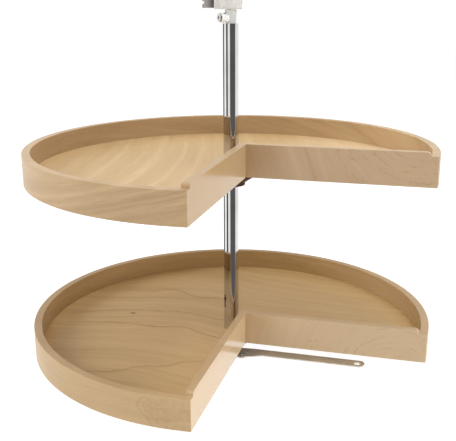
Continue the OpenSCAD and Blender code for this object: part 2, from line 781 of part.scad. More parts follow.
lower_tray_floor();
lower_tray_rim();
lower_left_wall();
lower_right_wall();
lower_tray_nails();
lower_hub();
lower_hub_screws();
lower_hub_lock_screw();
upper_tray_floor();
upper_tray_rim();
upper_left_wall();
upper_right_wall();
upper_tray_nails();
upper_hub();
upper_hub_screws();
upper_hub_lock_screw();
pole_tube();
pole_foot();
base_foot();
base_spindle();
lower_race();
bearing_balls();
ball_cage();
upper_race();
index_arm();
arm_retaining_ring();
arm_clamp_screw();
stem_guide();
stem_clamp_screw();
stem_clamp_nut();
stem_rod();
stem_stop_clip();
stem_collar();
thrust_washer();
stem_top_clip();
top_housing();
top_bush();
housing_cap();
top_bracket();
bracket_screws();
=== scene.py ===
"""Looks of a two-shelf pie-cut corner carousel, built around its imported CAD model.

Plain numbers are millimetres and degrees in the frame of the model; a mesh is scaled to metres when it is made.
"""

from math import acos, asin, cos, degrees, e, pi, radians, sin, sqrt, tan

import bmesh
import bpy
from mathutils import Matrix, Vector


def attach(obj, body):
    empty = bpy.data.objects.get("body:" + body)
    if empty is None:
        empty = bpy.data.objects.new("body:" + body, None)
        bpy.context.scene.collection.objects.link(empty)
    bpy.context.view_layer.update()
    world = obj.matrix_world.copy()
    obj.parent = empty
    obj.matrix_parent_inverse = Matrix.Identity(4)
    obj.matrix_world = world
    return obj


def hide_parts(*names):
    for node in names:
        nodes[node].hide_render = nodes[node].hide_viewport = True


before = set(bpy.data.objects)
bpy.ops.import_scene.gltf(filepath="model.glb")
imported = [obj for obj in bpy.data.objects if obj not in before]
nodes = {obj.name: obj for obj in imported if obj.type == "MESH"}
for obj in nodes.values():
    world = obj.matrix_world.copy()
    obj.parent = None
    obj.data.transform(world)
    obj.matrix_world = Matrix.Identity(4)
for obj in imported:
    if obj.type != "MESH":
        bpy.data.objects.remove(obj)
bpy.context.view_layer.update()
MM = 0.001

# Sizes of the CAD model
R, RIM_IN, RIM_H = 355.6, 341.6, 50.8
WALL_FACE, WALL_BACK, WALL_H = 35.8, 23.3, 57.5  # the first two are distances from the axis
TRAYS = {"lower": 40.0, "upper": 347.0}  # the undersides of the tray floors
TRAY_BODY = {"lower": "carousel", "upper": "upper_tray"}
HUB_BORE_R, SPIGOT_R, SPIGOT_H = 13.4, 17.4, 9.6
HUB_FLANGE_R, HUB_FLANGE_T, HUB_SCREW_AT = 46, 3.5, 36
LOCK_ANGLE = -136.0  # the side on which the lock screws, the clamp screw and the keyhole lie
POLE_R, POLE_IN = 13.35, 12.15
POLE_Z, POLE_TOP = 18.0, 601.6
PLUG_R = 12.1  # the plugs in both ends of the pole
ARM_Z = (5.4, 7.4)
EAR_AT, EAR_ANGLE = 32, -37.5  # where the arm's clamp screw stands
CLAMP_Z, BOSS_END = 611.3, 20  # the clamp screw on the neck: its height, and how far out its head lies
HOUSING_R, HOUSING_Z, HOUSING_TOP = 18.5, 624.9, 652.9
BACK_Y, PLATE_Y, TOP_Z = 13, 15.5, 664.9  # the front and the rear of the bracket's upright, and its top
SKIN = 0.04  # the wood stays this far inside its CAD solid, so that nail ends lie just proud of it


# ---- Meshes ----

def on_circle(r, angle):
    return r * cos(radians(angle)), r * sin(radians(angle))


def circle(x, y, r, n):
    """n points round a circle, from its +X side on."""
    return [(x + r * cos(2 * pi * i / n), y + r * sin(2 * pi * i / n)) for i in range(n)]


def arc(cx, cy, r, a0, a1, n):
    """Points on a circle from angle a0 to a1, both included."""
    turns = [radians(a0 + (a1 - a0) * i / n) for i in range(n + 1)]
    return [(cx + r * cos(t), cy + r * sin(t)) for t in turns]


def rounded(corners, n=4):
    """An outline from (x, y, radius) corners, with each corner that has a radius rounded in n steps."""
    out = []
    count = len(corners)
    for i, (x, y, r) in enumerate(corners):
        p = Vector((x, y))
        if r <= 0:
            out.append((x, y))
            continue
        a = (Vector(corners[i - 1][:2]) - p).normalized()
        b = (Vector(corners[(i + 1) % count][:2]) - p).normalized()
        half = acos(max(-1, min(1, a.dot(b)))) / 2
        centre = p + (a + b).normalized() * (r / sin(half))
        start, end = p + a * (r / tan(half)) - centre, p + b * (r / tan(half)) - centre
        for k in range(n + 1):
            t = start.lerp(end, k / n).normalized() * r if k not in (0, n) else (start if k == 0 else end)
            out.append(tuple(centre + t))
    return out


def lathe(profile, n=96, at=(0, 0, 0), closed=False):
    """A solid of revolution about z. The profile is (radius, height) points; a closed one makes a ring."""
    bm = bmesh.new()
    rings = []
    for r, h in profile:
        if r < 1e-6:
            rings.append([bm.verts.new((at[0], at[1], at[2] + h))] * n)
        else:
            rings.append([bm.verts.new((x, y, at[2] + h)) for x, y in circle(at[0], at[1], r, n)])
    for k in range(len(rings) - (0 if closed else 1)):
        a, b = rings[k], rings[(k + 1) % len(rings)]
        for i in range(n):
            j = (i + 1) % n
            quad = list(dict.fromkeys((a[i], a[j], b[j], b[i])))
            if len(quad) > 2:
                bm.faces.new(quad)
    bmesh.ops.recalc_face_normals(bm, faces=bm.faces)
    return bm


def prism(outline, z0, z1):
    """A straight solid over a closed outline."""
    bm = bmesh.new()
    low = [bm.verts.new((x, y, z0)) for x, y in outline]
    high = [bm.verts.new((x, y, z1)) for x, y in outline]
    bm.faces.new(low[::-1])
    bm.faces.new(high)
    for i in range(len(low)):
        j = (i + 1) % len(low)
        bm.faces.new((low[i], low[j], high[j], high[i]))
    bmesh.ops.recalc_face_normals(bm, faces=bm.faces)
    return bm


def pin(r, z0, z1, at=(0, 0), n=48):
    """A round bar along z."""
    return prism(circle(at[0], at[1], r, n), z0, z1)


def moved(bm, matrix):
    bmesh.ops.transform(bm, matrix=matrix, verts=bm.verts)
    return bm


def radial(angle, z):
    """What runs along +z comes to run away from the axis at that angle and height."""
    return Matrix.Translation((0, 0, z)) @ Matrix.Rotation(radians(angle), 4, "Z") @ Matrix.Rotation(pi / 2, 4, "Y")


def spin(angle):
    return Matrix.Rotation(radians(angle), 4, "Z")


def shift(x, y, z):
    return Matrix.Translation((x, y, z))


BACKWARDS = Matrix.Rotation(-pi / 2, 4, "X")  # what runs along +z comes to run along +y


def combine(bm, others, operation):
    """The first solid with the others cut from it or joined to it."""
    def loose(b, name):
        mesh = bpy.data.meshes.new(name)
        b.to_mesh(mesh)
        b.free()
        obj = bpy.data.objects.new(name, mesh)
        bpy.context.scene.collection.objects.link(obj)
        return obj
    base = loose(bm, "base_solid")
    tools = [loose(o, "tool_solid") for o in others]
    for tool in tools:
        mod = base.modifiers.new("cut", "BOOLEAN")
        mod.operation, mod.solver, mod.object = operation, "EXACT", tool
    bpy.context.view_layer.update()
    result = bmesh.new()
    result.from_mesh(base.evaluated_get(bpy.context.evaluated_depsgraph_get()).to_mesh())
    for obj in [base] + tools:
        mesh = obj.data
        bpy.data.objects.remove(obj)
        bpy.data.meshes.remove(mesh)
    return result


def cut(bm, *tools):
    return combine(bm, tools, "DIFFERENCE")


def join(bm, *tools):
    return combine(bm, tools, "UNION")


def together(*parts):
    """Several separate solids in one mesh."""
    out = bmesh.new()
    for part in parts:
        mesh = bpy.data.meshes.new("part")
        part.to_mesh(mesh)
        part.free()
        out.from_mesh(mesh)
        bpy.data.meshes.remove(mesh)
    return out


def piece(name, bm, material, body, replaces, ease=0.0, segments=2, flush=None, cover=None, on=None):
    """Makes the mesh an object in metres that stands for the node replaces. ease is how far its sharp edges are
    rounded, apart from those whose two points flush picks. Faces that on picks wear the cover."""
    same_point, sharp_from = 2e-4, 35
    bmesh.ops.remove_doubles(bm, verts=bm.verts, dist=same_point)
    bmesh.ops.recalc_face_normals(bm, faces=bm.faces)
    weights = bm.edges.layers.float.new("bevel_weight_edge")
    for edge in bm.edges:
        sharp = len(edge.link_faces) == 2 and edge.calc_face_angle(0.0) > radians(sharp_from)
        seam = sharp and bool(flush) and all(flush(v.co) for v in edge.verts)
        edge[weights] = float(sharp and not seam)
        edge.smooth = not (seam or (sharp and not ease))
    for face in bm.faces:
        face.smooth = True
        face.material_index = int(bool(cover) and on(face))
    bmesh.ops.scale(bm, vec=(MM, MM, MM), verts=bm.verts)
    mesh = bpy.data.meshes.new(name)
    bm.to_mesh(mesh)
    bm.free()
    for one in (material, cover):
        if one:
            mesh.materials.append(one)
    obj = bpy.data.objects.new(name, mesh)
    bpy.context.scene.collection.objects.link(obj)
    if ease:
        bevel = obj.modifiers.new("ease", "BEVEL")
        bevel.limit_method = "WEIGHT"
        bevel.width, bevel.segments = ease * MM, segments
        bevel.miter_outer = "MITER_ARC"
    weighted = obj.modifiers.new("even", "WEIGHTED_NORMAL")
    weighted.keep_sharp = True
    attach(obj, body)
    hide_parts(replaces)


# ---- Materials ----

def lin(r, g, b):
    """A linear colour from 0 to 255 values as a picture shows them."""
    return tuple((c / 255 / 12.92) if c <= 10 else ((c / 255 + 0.055) / 1.055) ** 2.4 for c in (r, g, b)) + (1.0,)


class Shader:
    """Short ways to write a node tree around one Principled shader."""

    def __init__(self, name, **values):
        self.mat = bpy.data.materials.new(name)
        self.mat.use_nodes = True
        self.tree = self.mat.node_tree
        self.tree.nodes.clear()
        self.bsdf = self.tree.nodes.new("ShaderNodeBsdfPrincipled")
        out = self.tree.nodes.new("ShaderNodeOutputMaterial")
        self.tree.links.new(self.bsdf.outputs[0], out.inputs[0])
        self.set(**values)

    def set(self, **values):
        for key, value in values.items():
            self.put(self.bsdf.inputs[key.replace("_", " ")], value)

    def put(self, socket, value):
        if isinstance(value, bpy.types.NodeSocket):
            self.tree.links.new(value, socket)
        else:
            socket.default_value = value

    def node(self, kind, ins=None, out=0, **props):
        n = self.tree.nodes.new("ShaderNode" + kind)
        for key, value in props.items():
            setattr(n, key, value)
        for key, value in (ins or {}).items():
            self.put(n.inputs[key], value)
        return n.outputs[out]

    def place(self):
        """Object coordinates, in millimetres."""
        here = self.node("TexCoord", out=3)
        return self.node("VectorMath", {0: here, 1: (1000, 1000, 1000)}, operation="MULTIPLY")

    def parts(self, vector):
        n = self.tree.nodes.new("ShaderNodeSeparateXYZ")
        self.put(n.inputs[0], vector)
        return n.outputs[0], n.outputs[1], n.outputs[2]

    def vec(self, x=0.0, y=0.0, z=0.0):
        return self.node("CombineXYZ", {0: x, 1: y, 2: z})

    def length(self, x, y):
        return self.node("VectorMath", {0: self.vec(x, y)}, out=1, operation="LENGTH")

    def op(self, operation, a, b=0.0):
        n = self.tree.nodes.new("ShaderNodeMath")
        n.operation = operation
        for socket, value in zip(n.inputs, (a, b)):
            self.put(socket, value)
        return n.outputs[0]

    def add(self, a, b):
        return self.op("ADD", a, b)

    def sub(self, a, b):
        return self.op("SUBTRACT", a, b)

    def mul(self, a, b):
        return self.op("MULTIPLY", a, b)

    def div(self, a, b):
        return self.op("DIVIDE", a, b)

    def ln(self, a):
        return self.op("LOGARITHM", a, e)

    def span(self, value, a, b, c=0.0, d=1.0, smooth=False):
        """value from the range a to b mapped to c to d, and held there."""
        return self.node("MapRange", {0: value, 1: a, 2: b, 3: c, 4: d},
                         interpolation_type="SMOOTHSTEP" if smooth else "LINEAR")

    def bell(self, value, centre, width):
        """1 at the centre, falling smoothly to 0 at one width on both sides."""
        return self.span(self.op("ABSOLUTE", self.sub(value, centre)), width, 0.0, smooth=True)

    def noise(self, vector, scale=1.0, detail=2.0, rough=0.5):
        return self.node("TexNoise", {"Vector": vector, "Scale": scale, "Detail": detail, "Roughness": rough})

    def mix(self, factor, a, b):
        return self.node("Mix", {0: factor, 6: a, 7: b}, out=2, data_type="RGBA", clamp_factor=False)

    def curve(self, x, points):
        """A smooth function of x through (x, y) points. It has room to swing a little past their range."""
        xs, ys = [p[0] for p in points], [p[1] for p in points]
        x0, x1, y0, y1 = xs[0], xs[-1], min(ys) - 1.0, max(ys) + 1.0
        n = self.tree.nodes.new("ShaderNodeFloatCurve")
        line = n.mapping.curves[0]
        spots = [((px - x0) / (x1 - x0), (py - y0) / (y1 - y0)) for px, py in points]
        line.points[0].location, line.points[-1].location = spots[0], spots[-1]
        for spot in spots[1:-1]:
            line.points.new(*spot)
        n.mapping.update()
        self.put(n.inputs["Value"], self.span(x, x0, x1))
        return self.span(n.outputs[0], 0.0, 1.0, y0, y1)

    def bump(self, height, strength, distance):
        self.set(Normal=self.node("Bump", {"Height": height, "Strength": strength, "Distance": distance}))

    def surface(self, shader):
        """Makes another shader the surface, in place of the Principled one."""
        out = [n for n in self.tree.nodes if n.bl_idname == "ShaderNodeOutputMaterial"][0]
        self.tree.links.new(shader, out.inputs[0])
        self.tree.nodes.remove(self.bsdf)


# The middles of the arcs in the right walls, as x and z
UPPER_RINGS, LOWER_RINGS = (322.0, 464.0), (300.0, 0.0)


# Each board's coordinates g, a and d: along it, across it and into it

def flat_x(s, seed):
    x, y, z = s.parts(s.place())
    return x, y, s.add(z, seed)


def flat_y(s, seed):
    x, y, z = s.parts(s.place())
    return y, x, s.add(z, seed)


def upright_x(s, seed):
    x, y, z = s.parts(s.place())
    return x, z, s.add(y, seed)


def upright_y(s, seed):
    x, y, z = s.parts(s.place())
    return y, z, s.add(x, seed)


def bent(s, seed):
    """Along a rim is the way round it, counted from the middle of its back. The seam lies in the open quarter."""
    turned = s.node("VectorRotate", {"Vector": s.place(), "Angle": radians(-135)}, rotation_type="Z_AXIS")
    x, y, z = s.parts(turned)
    return s.mul(s.op("ARCTAN2", y, x), R), z, s.add(s.length(x, y), seed)


def sweep(s, g, a):
    """The grain of the upper floor leans over and bends."""
    return g, s.add(a, s.add(s.mul(g, 0.18), s.mul(s.mul(g, g), 0.00035)))


def rise(s, g, a):
    """The grain of the lower floor rises in the middle of the left half."""
    middle, width, rise_by = -115.0, 150.0, 45.0
    t = s.div(s.sub(g, middle), width)
    return g, s.sub(a, s.mul(s.op("EXPONENT", s.mul(s.mul(t, t), -1.0)), rise_by))


def rings(centre, spread):
    """The grain lies in arcs round a point above or below the board."""
    def figure(s, g, a):
        dx, dz = s.add(g, -centre[0]), s.add(a, -centre[1])
        return s.mul(s.op("ARCTAN2", dz, dx), 60.0), s.mul(s.ln(s.length(dx, dz)), spread)
    return figure


def slant(slope):
    """The grain is straight and leans by this slope."""
    return lambda s, g, a: (g, s.add(a, s.mul(g, slope)))


def wood(name, place, seed, light, dark, features, figure=slant(0.0), pitch=26.0, wander=14.0, line=0.3, broad=0.6,
         coat=0.5, gloss=0.16, index=1.45):
    """Pale veneer under satin lacquer: soft bands along the grain, thin growth lines, fine fibres and short pores.
    figure bends the grain, and features adds what this one board shows. pitch is the distance of the growth lines,
    wander how far they stray and line how dark they are. broad is the share of the wide bands. tone runs from
    the dark colour at 0 to the light one at 1."""
    s = Shader(name, Coat_Weight=coat, Coat_Roughness=gloss, Coat_IOR=index, Specular_IOR_Level=0.2)
    g, a, d = place(s, seed * 10.0)
    v, u = figure(s, g, a)
    drift = s.noise(s.vec(s.mul(v, 0.007), s.mul(u, 0.025), s.mul(d, 0.02)), 1.0, 3.0, 0.55)
    u = s.add(u, s.mul(s.add(drift, -0.5), 2 * wander))
    phase = s.op("FRACT", s.div(s.add(u, 1000.0), pitch))
    growth = s.mul(s.op("POWER", phase, 7.0), s.span(phase, 0.95, 1.0, 1.0, 0.0, smooth=True))
    patchy = s.span(s.noise(s.vec(s.mul(v, 0.008), s.mul(u, 0.04), seed)), 0.44, 0.6)
    bands = s.noise(s.vec(s.mul(v, 0.0035), s.mul(u, 0.04), seed + 3.0), 1.0, 2.0)
    streaks = s.noise(s.vec(s.mul(v, 0.02), s.mul(u, 0.30), seed + 7.0), 1.0, 3.0, 0.6)
    hair = s.noise(s.vec(s.mul(g, 0.10), s.mul(a, 1.2), s.mul(d, 1.2)), 1.0, 3.0, 0.65)
    tone = s.add(s.mul(s.span(bands, 0.3, 0.7), broad), s.mul(s.span(streaks, 0.3, 0.7), 1.0 - broad))
    tone = s.add(tone, s.mul(s.add(hair, -0.5), 0.7))
    tone = s.sub(tone, s.mul(s.mul(growth, patchy), line))
    tone = features(s, g, a, tone)
    pore = s.span(s.noise(s.vec(s.mul(g, 0.30), s.mul(a, 2.2), s.mul(d, 2.2)), 1.0, 1.0), 0.66, 0.76)
    tone = s.sub(tone, s.mul(pore, 0.4))
    s.set(Base_Color=s.mix(tone, lin(*dark), lin(*light)), Roughness=s.span(hair, 0.2, 0.8, 0.46, 0.6))
    s.bump(s.sub(hair, pore), 0.2, 0.00005)
    return s.mat


def streaks(s, u, g, tone, marks):
    """Pale and dark streaks along the grain, each with its place across it, its width and its strength."""
    u = s.add(u, s.mul(s.add(s.noise(s.vec(s.mul(g, 0.012), s.mul(u, 0.01))), -0.5), 8.0))
    for at, width, much in marks:
        ragged = s.span(s.noise(s.vec(s.mul(g, 0.02), s.mul(u, 0.15), at), 1.0, 3.0), 0.3, 0.7, 0.2, 1.0)
        tone = s.add(tone, s.mul(s.mul(s.bell(u, at, width), much), ragged))
    return tone


def pale_streaks(s, g, a, tone):
    """The pale swirls of the upper floor, which is lighter towards the right."""
    tone = s.add(tone, s.span(a, 0.0, 200.0, -0.15, 0.4))
    tone = streaks(s, sweep(s, g, a)[1], g, tone, (
        (-146, 15, 1.1), (-98, 10, 0.8), (-219, 9, 0.7), (-62, 8, 0.4), (-178, 7, 0.4), (40, 12, 0.5)))
    return s.add(s.mul(tone, 0.56), s.span(a, 30.0, 140.0, 0.0, 0.5))


def climb(s, g, a):
    """The grain of the upper rim climbs towards its end at the left wall."""
    return g, s.sub(a, s.curve(g, ((-880, 0), (0, 348), (520, 348), (642, 364), (760, 393), (880, 423))))


def slanting_streaks(s, g, a, tone):
    """The upper rim has painted light at its right end and painted shade at its back, and streaks near the left wall.
    """
    near = s.span(g, 480.0, 640.0, smooth=True)
    # Painted light and shade: lighter at the right end, darker across the back.
    tone = s.add(tone, s.curve(g, (
        (-880, 0.5), (-680, 0.6), (-450, 0.0), (-300, -0.3), (0, -0.1), (450, 0.2), (880, 0.0))))
    extra = streaks(s, climb(s, g, a)[1], g, 0.0, (
        (1, 5, 0.7), (-7, 5, -0.4), (-14, 4, 0.6), (-23, 5, -0.7), (-31, 3, -0.4), (-38, 5, 0.4), (-50, 8, -0.4)))
    return s.add(tone, s.mul(extra, near))


def ring_figure(s, g, a, tone):
    """A growth line turns back near the end of the lower rim at the left wall. The wood inside it is mottled. The
    back of the rim has painted shade: it is drawn darker than its ends."""
    height = s.add(a, -TRAYS["lower"])
    off = s.sub(g, s.curve(height, (
        (0, 816), (8, 811), (15, 806), (21, 797), (31, 791), (41, 795), (46, 801), (54, 812))))
    off = s.add(off, s.mul(s.add(s.noise(s.vec(s.mul(g, 0.1), s.mul(a, 0.1))), -0.5), 8.0))
    line = s.span(s.op("ABSOLUTE", off), 4.0, 0.5, smooth=True)
    second = s.span(s.op("ABSOLUTE", s.add(off, -11.0)), 3.0, 0.5, smooth=True)
    inside = s.mul(s.span(off, 0.0, 14.0, smooth=True), s.span(height, 51.0, 42.0, 0.3, 1.0))
    # Painted shade: the rim is drawn darker across its back than near its ends.
    tone = s.add(tone, s.curve(g, (
        (-880, 0.4), (-680, 0.5), (-450, -0.2), (-300, -0.7), (0, -0.3), (450, 0.0), (880, 0.35))))
    lines = s.mul(s.add(s.mul(line, 0.42), s.mul(second, 0.16)), s.span(height, 50.5, 47.0))
    mottle = s.mul(inside, s.span(s.noise(s.vec(s.mul(g, 0.12), s.mul(a, 0.12)), 1.0, 2.0), 0.35, 0.65, 0.05, 0.45))
    tone = s.sub(tone, s.add(lines, mottle))
    # More painted shade at the back of the rim.
    back = s.curve(g, ((-880, 0.32), (-600, 0.32), (-400, 0.04), (0, 0.04), (200, 0.02), (400, 0.32), (880, 0.32)))
    return s.add(s.mul(tone, 0.68), back)


def ring_lines(s, g, a, tone, centre, pitch, inside, much):
    """Thin wavering growth lines round a point, in the part of the board that is nearer to it than inside."""
    shake = s.noise(s.vec(s.mul(g, 0.06), s.mul(a, 0.06)), 1.0, 3.0, 0.6)
    away = s.length(s.add(g, -centre[0]), s.add(a, -centre[1]))
    turn = s.div(s.add(s.mul(s.ln(away), 70.0), s.mul(shake, 11.0)), pitch)
    phase = s.op("FRACT", turn)
    worn = s.span(s.noise(s.vec(s.mul(g, 0.05), s.mul(a, 0.05), 5.0), 1.0, 2.0), 0.42, 0.6)
    line = s.mul(s.span(s.op("ABSOLUTE", s.add(phase, -0.5)), 0.12, 0.02, smooth=True), worn)
    return s.sub(tone, s.mul(s.mul(line, s.span(away, inside, inside - 30.0)), much))


def painted_corner_shade(s, g, tone):
    """Painted shade: the wall is drawn a little darker towards the inner corner, where shade falls."""
    return s.sub(tone, s.span(g, 36.0, 125.0, 2.0, 0.0, smooth=True))


def painted_reflection_by_pole(s, g, a, tone):
    """Painted reflection: the left walls turn to their light tone towards the pole."""
    return s.add(s.mul(tone, 0.5), s.span(g, -240.0, -90.0, -0.2, 0.75, smooth=True))


def right_wall_lines(s, g, a, tone):
    """Arcs at the outer end of the upper right wall, bowed bands near the pole, and painted shade in the corner."""
    tone = ring_lines(s, g, a, tone, UPPER_RINGS, 10.0, 178.0, 1.5)
    for x, width, much in ((112, 9, 0.5), (138, 5, -0.9), (158, 7, 0.4), (96, 8, -0.4), (76, 4, -0.3)):
        bowed = s.add(g, s.mul(s.add(a, -400.0), 0.35))
        tone = s.add(tone, s.mul(s.bell(bowed, x, width), much))
    return painted_corner_shade(s, g, tone)


def flecks(s, g, a, tone):
    """Faint arcs at the outer end of the lower right wall, two short dark flecks, and painted shade in the corner."""
    tone = ring_lines(s, g, a, tone, LOWER_RINGS, 11.0, 130.0, 1.5)
    for x, z in ((154.0, 57.0), (166.0, 58.5)):
        away = s.length(s.mul(s.add(g, -x), 0.4), s.add(a, -z))
        tone = s.sub(tone, s.span(away, 1.7, 0.6, 0.0, 2.5, smooth=True))
    return painted_corner_shade(s, g, tone)


def dark_lines(s, g, a, tone):
    """The long growth lines of the lower floor, as x and y points, and its small knot."""
    wave = s.mul(s.add(s.noise(s.vec(s.mul(g, 0.05), s.mul(a, 0.004)), 1.0, 2.0), -0.5), 9.0)
    lines = (
        ((-336, -21), (-269, 10), (-217, 30), (-160, 37), (-118, 45), (-72, 38), (-29, 28), (60, 20)),
        ((-304, -56), (-246, -41), (-176, -33), (-133, -35), (-94, -25), (-54, -38), (-5, -54), (40, -60)),
        ((-265, 132), (-213, 137), (-169, 157), (-136, 145), (-100, 129), (-60, 136), (20, 140)),
        ((-240, -262), (-186, -240), (-137, -225), (-109, -201), (-64, -186), (-35, -161), (10, -150)),
    )
    for k, points in enumerate(lines):
        off = s.sub(s.sub(a, s.curve(g, points)), wave)
        core = s.mul(s.span(s.op("ABSOLUTE", off), 2.6, 0.4, smooth=True), 1.1)
        shade = s.mul(s.span(off, -16.0, 0.0, smooth=True), s.span(off, 0.0, 1.5, 0.45, 0.0))
        first, last = points[0][0], points[-1][0]
        fade = s.mul(s.span(g, first, first + 50.0), s.span(g, last, last - 60.0))
        worn = s.span(s.noise(s.vec(s.mul(g, 0.03), float(k))), 0.3, 0.6, 0.35, 1.0)
        tone = s.sub(tone, s.mul(s.mul(s.add(core, shade), fade), worn))
    tone = s.add(tone, s.span(g, 100.0, 300.0, 0.0, 0.4))
    away = s.length(s.mul(s.add(g, 202.0), 0.6), s.add(a, -14.0))
    halo, knot = s.span(away, 6.0, 1.5, 0.0, 1.5, smooth=True), s.span(away, 2.0, 0.8, 0.0, 3.5, smooth=True)
    return s.sub(tone, s.add(halo, knot))


def metal(name, colour, rough=0.0, stretch=(1.0, 1.0, 1.0), spread=0.08, dent=0.00002, metallic=1.0, end=None):
    """Bare or plated metal. A mirror where rough is 0, or else its fine marks are drawn out along an axis by stretch.
    end is painted shadow: the colour it darkens to along x, from where that starts to where it is reached."""
    s = Shader(name, Metallic=metallic, Roughness=0.0)
    cloud = s.noise(s.place(), 0.03, 3.0)
    base = s.mix(s.span(cloud, 0.3, 0.7), lin(*colour), lin(*[c * 0.93 for c in colour]))
    # A painted shadow: the colour turns dark along x.
    if end:
        dark, start, reached = end
        base = s.mix(s.span(s.parts(s.place())[0], start, reached, smooth=True), base, lin(*dark))
    s.set(Base_Color=base)
    if rough:
        where = s.node("VectorMath", {0: s.place(), 1: stretch}, operation="MULTIPLY")
        marks = s.noise(where, 1.0, 4.0, 0.6)
        s.set(Roughness=s.span(marks, 0.25, 0.75, rough - spread, rough + spread))
        s.bump(marks, 0.15, dent)
    return s.mat


def moulded(name, colour, rough, grit=0.12, shine=0.5):
    """Injection-moulded plastic with a faint matt grain and slight clouding. grit is how strong the grain is."""
    s = Shader(name, Specular_IOR_Level=shine)
    cloud = s.noise(s.place(), 0.05, 3.0)
    skin = s.noise(s.place(), 1.2, 3.0, 0.6)
    s.set(Base_Color=s.mix(s.span(cloud, 0.3, 0.7), lin(*colour), lin(*[c * 0.96 for c in colour])),
          Roughness=s.span(skin, 0.3, 0.7, rough - 0.05, rough + 0.05))
    s.bump(skin, grit, 0.00005)
    return s.mat


chrome = metal("chrome_plate", (207, 206, 205))
bright_steel = metal("bright_steel", (224, 224, 222), 0.16, (1.5, 1.5, 0.03))
# The arm's zinc is drawn near white and warm: painted light and a painted reflection of the wood above it, as the arm
# lies in the tray's shade.
zinc = metal("zinc_plated_steel", (255, 247, 232), 0.5, (0.03, 1.6, 1.6), metallic=0.1)
screw_steel = metal("screw_steel", (190, 186, 178), 0.26, (0.8, 0.8, 0.8))
nail_steel = metal("nail_steel", (150, 130, 104), 0.5)
# The bracket is drawn dark towards the housing: a painted shadow where it meets the housing.
bracket_steel = metal("bracket_steel", (164, 161, 157), 0.42, (0.05, 1.0, 1.4), metallic=0.7,
                      end=((62, 54, 47), -50, -31))
cast_zinc = metal("cast_zinc", (176, 172, 166), 0.46, (0.9, 0.9, 0.9), dent=0.00005, metallic=0.6)
bronze = metal("bronze", (186, 140, 84), 0.36, (0.9, 0.9, 0.9))
ball_steel = metal("ball_steel", (210, 212, 216), 0.07, (0.6, 0.6, 0.6), spread=0.02)
hub_brown = moulded("brown_nylon", (68, 41, 27), 0.5, shine=0.15)
neck_white = moulded("white_nylon", (244, 243, 240), 0.38, grit=0.04)
# A greyer copy of the white nylon, for painted shade on the neck.
neck_painted_shade = moulded("nylon_painted_shade", (210, 211, 206), 0.38, grit=0.04)
housing_white = moulded("housing_nylon", (224, 220, 216), 0.38, grit=0.04)
nylon_grey = moulded("grey_nylon", (150, 150, 148), 0.45)

WOODS = {
    "upper_floor": wood("upper_floor_veneer", flat_y, 1, (222, 194, 153), (195, 162, 114), pale_streaks, sweep,
                        line=0.35, pitch=31.0, broad=0.5, coat=0.2, gloss=0.3),
    "lower_floor": wood("lower_floor_veneer", flat_x, 2, (220, 191, 141), (199, 166, 118), dark_lines, rise,
                        line=0.45, pitch=21.0, coat=0.2, gloss=0.3),
    "upper_rim": wood("upper_rim_veneer", bent, 3, (199, 170, 131), (177, 147, 109), slanting_streaks, climb,
                      pitch=22.0, wander=8.0, coat=0.3, gloss=0.22),
    "lower_rim": wood("lower_rim_veneer", bent, 4, (205, 175, 134), (174, 144, 100), ring_figure, slant(-0.03),
                      pitch=24.0, coat=0.3, gloss=0.22),
    "upper_left_wall": wood("upper_left_veneer", upright_y, 5, (189, 160, 119), (190, 153, 103), painted_reflection_by_pole,
                            line=0.2, coat=0.8),
    # The lower left wall is drawn paler than the upper one: partly its own tone, partly painted light for the light
    # that falls on it.
    "lower_left_wall": wood("lower_left_veneer", upright_y, 6, (220, 192, 152), (219, 181, 127), painted_reflection_by_pole,
                            line=0.2, coat=1.0, index=1.75),
    "upper_right_wall": wood("upper_right_veneer", upright_x, 7, (192, 164, 131), (184, 155, 121), right_wall_lines,
                             rings(UPPER_RINGS, 70.0), line=0.0, wander=5.0, broad=0.3),
    "lower_right_wall": wood("lower_right_veneer", upright_x, 8, (208, 182, 147), (201, 174, 138), flecks,
                             rings(LOWER_RINGS, 70.0), line=0.0, wander=7.0, broad=0.3),
}


# ---- Trays ----

def tray_rim(z0):
    """The bent rim, ended by the inner planes of the two straight walls."""
    top_edge, low_edge, steps = 1.3, 0.6, 216
    section = rounded([(R - SKIN, 0, low_edge), (R - SKIN, RIM_H, top_edge), (RIM_IN, RIM_H, top_edge),
                       (RIM_IN, 0, 0)], 3)
    bm = bmesh.new()
    rows = []
    for r, h in section:
        over = degrees(asin(WALL_BACK / r))
        rows.append([bm.verts.new((x, y, z0 + h)) for x, y in arc(0, 0, r, -over, 270 + over, steps)])
    for k, row in enumerate(rows):
        after = rows[(k + 1) % len(rows)]
        for i in range(steps):
            bm.faces.new((row[i], row[i + 1], after[i + 1], after[i]))
    bm.faces.new([row[0] for row in rows])
    bm.faces.new([row[-1] for row in rows][::-1])
    return bm


def straight_wall(z0, start):
    """The wall along +X on the -Y side: its top comes down to the rim in a quarter round. A narrow strip along its
    back keeps the shading of the end flat up to the rim."""
    strip, drop = 0.05, WALL_H - RIM_H
    rim_from = sqrt(RIM_IN ** 2 - WALL_BACK ** 2)
    tops = [(start, WALL_H)] + arc(rim_from - drop, RIM_H, drop, 90, 0, 8)
    bm = bmesh.new()
    sides = []
    for y in (-WALL_FACE + SKIN, -WALL_BACK - strip, -WALL_BACK):
        end = sqrt((R - SKIN) ** 2 - y * y)
        points = [(start, 0.0)] + tops + [(end, RIM_H), (end, 0.0)]
        sides.append([bm.verts.new((x, y, z0 + z)) for x, z in points])
    bm.faces.new(sides[0])
    bm.faces.new(sides[-1][::-1])
    for front, back in zip(sides, sides[1:]):
        for i in range(len(front)):
            j = (i + 1) % len(front)
            bm.faces.new((front[j], front[i], back[i], back[j]))
    return bm


def left_of(bm):
    """Mirrors a right wall into the left one."""
    moved(bm, Matrix(((0, -1, 0, 0), (-1, 0, 0, 0), (0, 0, 1, 0), (0, 0, 0, 1))))
    bmesh.ops.reverse_faces(bm, faces=bm.faces)
    return bm


